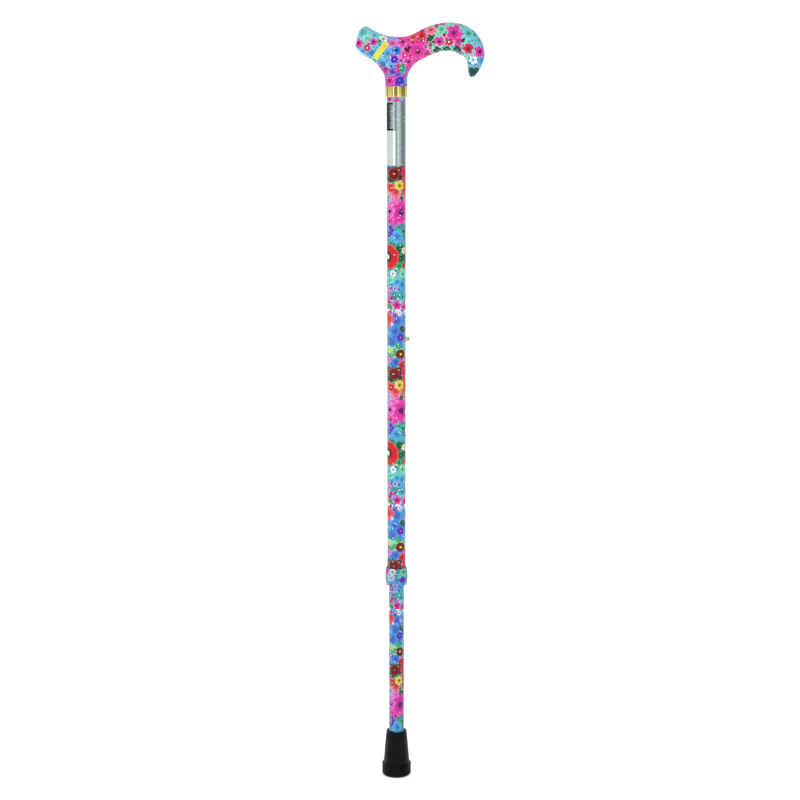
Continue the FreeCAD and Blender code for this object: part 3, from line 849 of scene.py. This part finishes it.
def label_paper():
    """Coated paper panel: pale grey-green print area with a white margin."""
    material, g, shader = new_material("label_paper", Coat_Weight=0.4, Coat_Roughness=0.15, IOR=1.45)
    place = object_mm(g)
    x, y, _ = g.split(place)
    printed = g.step(around_tube(g, x, y), PANEL_MARGIN_FROM, PANEL_MARGIN_FROM + 0.5, 1.0, 0.0)
    fibre = g.noise(place, 1.6, 4.0, 0.6)
    area = g.mix(fibre, srgb(190, 203, 197), srgb(206, 217, 212))
    g.wire(shader, Base_Color=g.mix(printed, srgb(244, 248, 248), area),
           Roughness=g.step(fibre, 0.3, 0.7, 0.40, 0.55), Normal=g.bump(fibre, 0.1, 0.0001))
    return material


FILM_THICKNESS = 0.12
UPPER_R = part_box("upper_shaft")[1].x / MM
LOWER_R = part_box("lower_shaft")[1].x / MM

GOLD = turned_metal("gold_ring", srgb(230, 212, 128), srgb(218, 198, 104), 0.13, 0.18, (0.3, 0.3, 5.0),
                    relief=0.004, edge=srgb(226, 204, 150))
BRASS = turned_metal("brass_button", srgb(220, 204, 142), srgb(190, 170, 104), 0.16, 0.30, (9.0, 2.0, 2.0))
ZINC = turned_metal("zinc_steel", srgb(190, 192, 196), srgb(150, 152, 156), 0.22, 0.42, (1.5, 1.5, 4.0))
SPRING = turned_metal("spring_steel", srgb(120, 126, 138), srgb(78, 84, 98), 0.24, 0.40, (6.0, 6.0, 1.0))
BLACK_NYLON = moulded("black_nylon", srgb(26, 27, 29), srgb(16, 17, 19), 0.42)
PALE_NYLON = moulded("pale_nylon", srgb(226, 222, 208), srgb(208, 204, 188), 0.40)
RUBBER = rubber()
PRINTED_GRIP = printed_handle()
PRINTED_UPPER = printed_tube("printed_upper_tube", UPPER_PRINT, UPPER_R - FILM_THICKNESS)
PRINTED_LOWER = printed_tube("printed_lower_tube", LOWER_PRINT, LOWER_R - FILM_THICKNESS)
PRINTED_COLLAR = printed_tube("printed_collar", COLLAR_PRINT_AND_SHADE, blossoms=COLLAR_BLOSSOMS)
FOIL = foil()
PAPER = label_paper()


# Every CAD node's finished material
for node, material in (
        ("upper_shaft", PRINTED_UPPER), ("lower_shaft", PRINTED_LOWER), ("lock_collar", PRINTED_COLLAR),
        ("handle", PRINTED_GRIP), ("handle_collar", GOLD), ("button_pin", BRASS),
        ("handle_spigot", PALE_NYLON), ("compression_ring", PALE_NYLON), ("glide_cap", BLACK_NYLON),
        ("threaded_bush", BLACK_NYLON), ("spigot_screw", ZINC), ("screw_washer", ZINC),
        ("ferrule_washer", ZINC), ("button_spring", SPRING), ("ferrule", RUBBER),
        ("shaft_label", FOIL), ("label_panel", PAPER)):
    slots = NODES[node].data.materials
    slots.clear()
    slots.append(material)


# ------ meshes

def new_object(name, mesh, material):
    piece = bpy.data.objects.new(name, mesh)
    bpy.context.scene.collection.objects.link(piece)
    mesh.materials.append(material)
    return piece


def smooth_mesh(name, bm):
    """Smooth-shaded mesh from a finished bmesh, which is freed."""
    mesh = bpy.data.meshes.new(name)
    bm.to_mesh(mesh)
    bm.free()
    mesh.shade_smooth()
    return mesh


def new_piece(name, bm, material):
    """Object from a finished bmesh, with its normals outwards and its hard edges kept sharp."""
    bmesh.ops.recalc_face_normals(bm, faces=bm.faces)
    mesh = smooth_mesh(name, bm)
    mesh.set_sharp_from_angle(angle=math.radians(40.0))
    return new_object(name, mesh, material)


LATHE_SEGMENTS = 160


def lathe(name, outline, material, closed=True):
    """Solid turned about +Z from (radius, height) millimetres listed once round its section."""
    bm = bmesh.new()
    loops = []
    for radius, height in outline:
        if radius < 1e-6:
            loops.append([bm.verts.new((0, 0, height * MM))] * LATHE_SEGMENTS)
            continue
        loop = []
        for i in range(LATHE_SEGMENTS):
            angle = 2 * math.pi * i / LATHE_SEGMENTS
            spot = (radius * MM * math.cos(angle), radius * MM * math.sin(angle), height * MM)
            loop.append(bm.verts.new(spot))
        loops.append(loop)
    following = loops[1:] + loops[:1] if closed else loops[1:]
    for low, high in zip(loops, following):
        for i in range(LATHE_SEGMENTS):
            j = (i + 1) % LATHE_SEGMENTS
            corners = list(dict.fromkeys((low[i], low[j], high[j], high[i])))
            if len(corners) > 2:
                bm.faces.new(corners)
    return new_piece(name, bm, material)


def rounded(outline, radius, steps=4):
    """Outline with every corner listed as (r, z, True) rounded off."""
    out = []
    for i, point in enumerate(outline):
        if len(point) == 2:
            out.append(point)
            continue
        here = Vector(point[:2])
        before = Vector(outline[i - 1][:2]) - here
        after = Vector(outline[(i + 1) % len(outline)][:2]) - here
        size = min(radius, before.length * 0.45, after.length * 0.45)
        start = here + before.normalized() * size
        end = here + after.normalized() * size
        for k in range(steps + 1):
            t = k / steps
            spot = start * (1 - t) ** 2 + here * (2 * t * (1 - t)) + end * t ** 2
            out.append((spot.x, spot.y))
    return out


# ------ handle

# Stations along the handle's spine, tail to nose: centre x, centre z, half height, half width
HANDLE_STATIONS = [
    (-38.4, 776.0, 4.4, 3.6), (-37.2, 775.6, 8.6, 7.0), (-34.0, 773.8, 12.0, 10.0),
    (-28.4, 769.3, 13.1, 11.5), (-17.0, 763.4, 13.8, 12.3), (0.0, 760.2, 14.4, 12.6),
    (17.0, 763.0, 13.4, 12.7), (33.0, 770.3, 13.6, 12.8), (49.0, 774.2, 14.1, 12.8),
    (63.0, 772.6, 14.2, 12.6), (73.6, 765.0, 12.8, 11.8), (78.5, 754.8, 9.7, 10.4),
    (77.6, 745.0, 6.8, 8.4), (75.8, 738.2, 4.2, 6.0), (74.8, 734.6, 2.0, 3.2),
]

# Levels of the neck: height, left x, right x, half width across
NECK_LEVELS = [
    (725.6, -11.2, 11.2, 11.2), (733.0, -11.3, 11.2, 11.3), (739.0, -13.2, 12.4, 11.4),
    (744.0, -16.6, 15.4, 11.6), (748.5, -20.8, 19.6, 11.9), (753.0, -26.0, 24.6, 12.0),
    (758.0, -29.5, 29.5, 11.6),
]


def through(points, steps):
    """Points along a natural cubic curve through rows of numbers, by chord length."""
    rows = np.array(points, float)
    count = len(rows)
    knots = np.concatenate([[0.0], np.cumsum(np.linalg.norm(np.diff(rows[:, :2], axis=0), axis=1))])
    gap = np.diff(knots)
    matrix = np.eye(count)
    right = np.zeros_like(rows)
    for i in range(1, count - 1):
        matrix[i, i - 1:i + 2] = gap[i - 1], 2 * (gap[i - 1] + gap[i]), gap[i]
        right[i] = 6 * ((rows[i + 1] - rows[i]) / gap[i] - (rows[i] - rows[i - 1]) / gap[i - 1])
    bend = np.linalg.solve(matrix, right)
    out = []
    for t in np.linspace(0, knots[-1], steps):
        i = min(int(np.searchsorted(knots, t, "right")) - 1, count - 2)
        a = (knots[i + 1] - t) / gap[i]
        b = (t - knots[i]) / gap[i]
        row = a * rows[i] + b * rows[i + 1]
        row = row + ((a ** 3 - a) * bend[i] + (b ** 3 - b) * bend[i + 1]) * gap[i] ** 2 / 6
        out.append(row)
    return np.array(out)


# How finely the handle is built; the voxels are in millimetres
ARM_ROWS = 150
NECK_ROWS = 30
RING_POINTS = 72
VOXEL = 0.6
RELAX_ROUNDS = 14


def ring_verts(bm, centre, across, up, half_across, half_up):
    """One oval ring of points round a centre, in millimetres."""
    verts = []
    for i in range(RING_POINTS):
        angle = 2 * math.pi * i / RING_POINTS
        spot = centre + across * (half_across * math.cos(angle)) + up * (half_up * math.sin(angle))
        verts.append(bm.verts.new(spot * MM))
    return verts


def skin_rings(bm, rings):
    """Closed skin over a row of rings."""
    for low, high in zip(rings, rings[1:]):
        for i in range(len(low)):
            j = (i + 1) % len(low)
            bm.faces.new((low[i], low[j], high[j], high[i]))
    bm.faces.new(reversed(rings[0]))
    bm.faces.new(rings[-1])


def handle_piece():
    """Derby grip: arm and neck fused into one skin, with the print's direction on every point."""
    across = Vector((0, 1, 0))
    rows = through(HANDLE_STATIONS, ARM_ROWS)
    tangents = np.gradient(rows[:, :2], axis=0)
    tangents /= np.linalg.norm(tangents, axis=1)[:, None]
    bm = bmesh.new()
    rings = []
    for (x, z, half_height, half_width), (tx, tz) in zip(rows, tangents):
        up = Vector((-tz, 0, tx))
        rings.append(ring_verts(bm, Vector((x, 0, z)), across, up, half_width, half_height))
    skin_rings(bm, rings)
    rings = []
    for z, left, right, half_width in through(NECK_LEVELS, NECK_ROWS):
        centre = Vector(((left + right) / 2, 0, z))
        rings.append(ring_verts(bm, centre, Vector((1, 0, 0)), across, (right - left) / 2, half_width))
    skin_rings(bm, rings)
    piece = new_piece("handle_grip", bm, PRINTED_GRIP)
    remesh = piece.modifiers.new("fuse", "REMESH")
    remesh.mode = "VOXEL"
    remesh.voxel_size = VOXEL * MM
    relax = piece.modifiers.new("relax", "SMOOTH")
    relax.factor = 0.5
    relax.iterations = RELAX_ROUNDS
    bake_modifiers(piece)
    mark_run(piece.data, rows, tangents)
    piece.data.shade_smooth()
    return piece


def bake_modifiers(piece):
    """Replace a piece's mesh by what its modifiers make of it."""
    bpy.context.view_layer.update()
    evaluated = piece.evaluated_get(bpy.context.evaluated_depsgraph_get())
    mesh = bpy.data.meshes.new_from_object(evaluated)
    piece.modifiers.clear()
    piece.data = mesh


# The print runs up the neck below this height, and along the arm this much further up
NECK_RUN_TOP = 742.0
RUN_CHANGE = 10.0
NOSE_FROM_X = 40.0


def mark_run(mesh, rows, tangents):
    """Store which way the handle runs at each point: along the arm, or up the neck."""
    places = np.zeros(len(mesh.vertices) * 3)
    mesh.vertices.foreach_get("co", places)
    places = places.reshape(-1, 3) / MM
    nearest = np.argmin(((places[:, None, (0, 2)] - rows[None, :, :2]) ** 2).sum(2), axis=1)
    run = np.zeros_like(places)
    run[:, (0, 2)] = tangents[nearest]
    on_arm = np.clip((places[:, 2] - NECK_RUN_TOP) / RUN_CHANGE, 0, 1)
    on_arm[places[:, 0] > NOSE_FROM_X] = 1.0
    run = run * on_arm[:, None] + np.array([0.0, 0.0, 1.0]) * (1 - on_arm[:, None])
    run /= np.linalg.norm(run, axis=1)[:, None]
    attribute = mesh.attributes.new("run", "FLOAT_VECTOR", "POINT")
    attribute.data.foreach_set("vector", run.astype(np.float32).ravel())


def add_handle():
    """The grip in place of the CAD handle."""
    piece = handle_piece()
    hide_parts("handle")
    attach(piece, "upper")


# ------ turned pieces

def height_span(node):
    """Bottom, top and outside radius of a turned node, in millimetres."""
    low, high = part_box(node)
    return low.z / MM, high.z / MM, high.x / MM


def add_gold_band():
    """Gold ring with softly rounded edges."""
    bottom, top, outer = height_span("handle_collar")
    outline = [(UPPER_R, bottom), (outer, bottom, True), (outer, top, True), (UPPER_R, top)]
    piece = lathe("gold_band", rounded(outline, 0.4, 6), GOLD)
    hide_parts("handle_collar")
    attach(piece, "upper")


COLLAR_BULGE = 1.0
COLLAR_BULGE_POWER = 2.4
COLLAR_ROWS = 29
COLLAR_EDGE = 0.6
COLLAR_EDGE_IN = (0.25, 0.3)    # how far in the barrel's lower and upper edges lie
COLLAR_LIP_CLEARANCE = 0.45
COLLAR_LIP_HEIGHT = 1.6
COLLAR_THREAD_BOTTOM = 4.2
COLLAR_THREAD_CLEARANCE = 0.9
COLLAR_SEAT_R = 8.75


def add_collar():
    """Barrelled lock collar with rounded lips, open over its thread."""
    bottom, top, belly = height_span("lock_collar")
    lip = LOWER_R + COLLAR_LIP_CLEARANCE
    thread = UPPER_R + COLLAR_THREAD_CLEARANCE
    barrel = []
    for t in np.linspace(0, 1, COLLAR_ROWS):
        radius = belly - COLLAR_BULGE * abs(2 * t - 1.04) ** COLLAR_BULGE_POWER
        barrel.append((radius, bottom + COLLAR_EDGE + (top - bottom - 2 * COLLAR_EDGE) * t))
    outline = [(lip, bottom + COLLAR_LIP_HEIGHT, True), (lip, bottom, True),
               (barrel[0][0] - COLLAR_EDGE_IN[0], bottom, True), *barrel,
               (barrel[-1][0] - COLLAR_EDGE_IN[1], top, True), (thread, top, True),
               (thread, bottom + COLLAR_THREAD_BOTTOM), (COLLAR_SEAT_R, bottom + COLLAR_LIP_HEIGHT)]
    piece = lathe("collar_ring", rounded(outline, 0.4), PRINTED_COLLAR)
    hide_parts("lock_collar")
    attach(piece, "collar")


# The ferrule, in millimetres: its foot, the cone above it and the neck at its top
FOOT_HEIGHT = 13.0
FOOT_EDGE_R = 2.6
CONE_R = 13.6
CONE_LEVELS = [(12.55, 28.5), (11.8, 37.5)]
NECK_R = 11.1
NECK_HEIGHT = 4.2
SOCKET_CLEARANCE = 0.05
TREAD_DEPTH = 1.5
TREAD_GROOVES = [(3.6, 5.1), (7.0, 8.5), (10.4, 11.9)]
RIBS = 5
RIB_DEPTH = 0.45
RIBS_FROM = 2.8
RIBS_BELOW_TOP = 1.0
RIB_SHARES = (0.56, 0.66, 0.92)     # of the pitch: end of a rib, start and end of its groove


def ferrule_tread():
    """Outline of the tread from its middle out: flat rings with grooves between them."""
    outline = [(0.0, 0.0)]
    for inner, outer in TREAD_GROOVES:
        outline += [(inner, 0.0, True), (inner, TREAD_DEPTH, True),
                    (outer, TREAD_DEPTH, True), (outer, 0.0, True)]
    return outline


def ferrule_foot(foot_r):
    """Outline up the foot: rounded lower edge, then the ribs and the foot's top."""
    outline = []
    for i in range(6):
        angle = math.pi / 2 * i / 6
        outline.append((foot_r - FOOT_EDGE_R * (1 - math.sin(angle)), FOOT_EDGE_R * (1 - math.cos(angle))))
    pitch = (FOOT_HEIGHT - RIBS_FROM - RIBS_BELOW_TOP) / RIBS
    for i in range(RIBS):
        z = RIBS_FROM + i * pitch
        rib_end, groove_start, groove_end = (z + pitch * share for share in RIB_SHARES)
        groove_r = foot_r - RIB_DEPTH
        outline += [(foot_r, z, True), (foot_r, rib_end, True),
                    (groove_r, groove_start, True), (groove_r, groove_end, True)]
    return outline + [(foot_r, FOOT_HEIGHT - 0.9), (foot_r, FOOT_HEIGHT, True)]


def add_ferrule():
    """Rubber tip: tapered socket with a lip, fine ribs round the foot and ring treads beneath."""
    _, top, foot_r = height_span("ferrule")
    socket = LOWER_R + SOCKET_CLEARANCE
    seat = height_span("lower_shaft")[0]
    wall = [(CONE_R + 0.5, FOOT_HEIGHT, True), (CONE_R, FOOT_HEIGHT + 2.2), *CONE_LEVELS,
            (NECK_R, top - NECK_HEIGHT), (NECK_R - 0.1, top - NECK_HEIGHT + 0.3, True),
            (NECK_R - 0.45, top, True), (socket, top, True), (socket, seat), (0.0, seat)]
    outline = ferrule_tread() + ferrule_foot(foot_r) + wall
    piece = lathe("rubber_tip", rounded(outline, 0.55), RUBBER, closed=False)
    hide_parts("ferrule")
    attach(piece, "lower")


# ------ spring

LEAF_THICKNESS = 0.5
LEAF_WIDTH = 5.0
LEAF_CORNER = 0.18
LEAF_ABOVE_BUTTON = 5.0


def leaf_section():
    """Rounded oblong section of the leaf, as (out of the bend, across) millimetres."""
    points = []
    for corner, (side_n, side_y) in enumerate(((1, 1), (-1, 1), (-1, -1), (1, -1))):
        n = side_n * (LEAF_THICKNESS / 2 - LEAF_CORNER)
        y = side_y * (LEAF_WIDTH / 2 - LEAF_CORNER)
        for k in range(4):
            angle = math.pi / 2 * (corner + k / 3)
            points.append((n + LEAF_CORNER * math.cos(angle), y + LEAF_CORNER * math.sin(angle)))
    return points


def hairpin_path(front, back, bottom, front_top, back_top):
    """Middle line down the front leg, round the bend and up the back leg: centre, outward normal."""
    middle = (front + back) / 2
    outer = (front - back) / 2
    bend = bottom + outer
    radius = outer - LEAF_THICKNESS / 2
    path = []
    for z in np.linspace(front_top, bend, 8)[:-1]:
        path.append((Vector((middle + radius, 0, z)), Vector((1, 0, 0))))
    for angle in np.linspace(0, math.pi, 33):
        outward = Vector((math.cos(angle), 0, -math.sin(angle)))
        path.append((Vector((middle, 0, bend)) + outward * radius, outward))
    for z in np.linspace(bend, back_top, 8)[1:]:
        path.append((Vector((middle - radius, 0, z)), Vector((-1, 0, 0))))
    return path


def add_leaf_spring():
    """Hairpin spring behind the button, in its open shape at rest."""
    low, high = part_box("button_spring")
    button_low, button_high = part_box("button_pin")
    front_top = (button_low.z + button_high.z) / 2 / MM + LEAF_ABOVE_BUTTON
    across = Vector((0, 1, 0))
    bm = bmesh.new()
    rings = []
    for centre, outward in hairpin_path(high.x / MM, low.x / MM, low.z / MM, front_top, high.z / MM):
        rings.append([bm.verts.new((centre + outward * n + across * y) * MM) for n, y in leaf_section()])
    skin_rings(bm, rings)
    piece = new_piece("leaf_spring", bm, SPRING)
    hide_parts("button_spring")
    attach(piece, "lower")
    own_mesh(piece)


add_handle()
add_gold_band()
add_collar()
add_ferrule()
add_leaf_spring()


# ------ floor, light and camera

SWEEP_SIZE = 6.0        # metres to each side, forwards and upwards
SWEEP_BACK_Y = 3.2
SWEEP_BEND = 1.2
SWEEP_STEPS = 16


def sweep_mesh():
    """Pale sweep: a floor that curves up into a backdrop."""
    profile = [(-SWEEP_SIZE, 0.0), (SWEEP_BACK_Y - SWEEP_BEND, 0.0)]
    for i in range(1, SWEEP_STEPS + 1):
        angle = math.pi / 2 * i / SWEEP_STEPS
        profile.append((SWEEP_BACK_Y - SWEEP_BEND * (1 - math.sin(angle)),
                        SWEEP_BEND * (1 - math.cos(angle))))
    profile.append((SWEEP_BACK_Y, SWEEP_SIZE))
    bm = bmesh.new()
    rows = [[bm.verts.new((x, y, z)) for x in (-SWEEP_SIZE, SWEEP_SIZE)] for y, z in profile]
    for low, high in zip(rows, rows[1:]):
        bm.faces.new((low[0], low[1], high[1], high[0]))
    return smooth_mesh("sweep", bm)


def add_stage():
    """Floor and backdrop, nearly white and a little lit from within."""
    material, g, shader = new_material("pale_sweep", Roughness=0.9, Emission_Color=(1, 1, 1, 1),
                                       Emission_Strength=0.5)
    tone = g.noise(g.add("ShaderNodeTexCoord").outputs["Object"], 3.0, 3.0)
    g.wire(shader, Base_Color=g.mix(tone, (0.90, 0.90, 0.90, 1), (0.93, 0.93, 0.93, 1)))
    new_object("sweep", sweep_mesh(), material)


# Softboxes, each aimed at the cane's middle: azimuth (0 is the camera's side, + towards +X) and
# elevation in degrees, distance, width and height in metres, power in watts
AIM = Vector((0, 0, 0.45))
PANELS = {
    "left_strip": (-30, 6, 2.4, 0.36, 2.4, 5.8),
    "right_strip": (19, 6, 2.4, 0.5, 2.4, 4.6),
    "left_side": (-74, 4, 2.4, 2.4, 2.4, 10.5),
    "right_side": (118, 4, 2.4, 0.8, 2.4, 3),
    "right_fill": (38, 4, 2.4, 1.1, 2.4, 4.2),
    "front_top": (-6, 52, 2.7, 2.2, 1.6, 17),
    "top_panel": (0, 84, 2.6, 2.4, 2.4, 12),
}


def add_panel(name, azimuth, elevation, distance, width, height, power):
    light = bpy.data.lights.new(name, "AREA")
    light.shape = "RECTANGLE"
    light.size = width
    light.size_y = height
    light.energy = power
    lamp = bpy.data.objects.new(name, light)
    bpy.context.scene.collection.objects.link(lamp)
    a = math.radians(azimuth)
    e = math.radians(elevation)
    towards = Vector((math.sin(a) * math.cos(e), -math.cos(a) * math.cos(e), math.sin(e)))
    lamp.location = AIM + towards * distance
    lamp.rotation_euler = (AIM - lamp.location).to_track_quat("-Z", "Y").to_euler()


def add_lights():
    """The softboxes, and a pale world that is brighter where the camera sees it past the sweep."""
    world = bpy.data.worlds.new("studio")
    bpy.context.scene.world = world
    world.use_nodes = True
    g = Graph(world.node_tree)
    seen = g.add("ShaderNodeLightPath").outputs["Is Camera Ray"]
    g.wire(world.node_tree.nodes["Background"], Color=(0.95, 0.98, 1.0, 1),
           Strength=g.blend(seen, 0.3, 0.9))
    for name, settings in PANELS.items():
        add_panel(name, *settings)


CAMERA_DISTANCE = 1.9
CAMERA_PITCH = math.radians(10.5)
CAMERA_X = 0.0037
CAMERA_AIM_Z = 0.4067
CAMERA_LENS = 82.9


def add_camera():
    """Camera in front of the cane, looking a little down at its middle."""
    camera = bpy.data.cameras.new("camera")
    camera.lens = CAMERA_LENS
    camera.sensor_width = 36.0
    body = bpy.data.objects.new("camera", camera)
    bpy.context.scene.collection.objects.link(body)
    body.location = (CAMERA_X, -CAMERA_DISTANCE * math.cos(CAMERA_PITCH),
                     CAMERA_AIM_Z + CAMERA_DISTANCE * math.sin(CAMERA_PITCH))
    body.rotation_euler = (math.pi / 2 - CAMERA_PITCH, 0, 0)
    bpy.context.scene.camera = body


add_stage()
add_lights()
add_camera()
bpy.context.scene.view_settings.view_transform = "Standard"
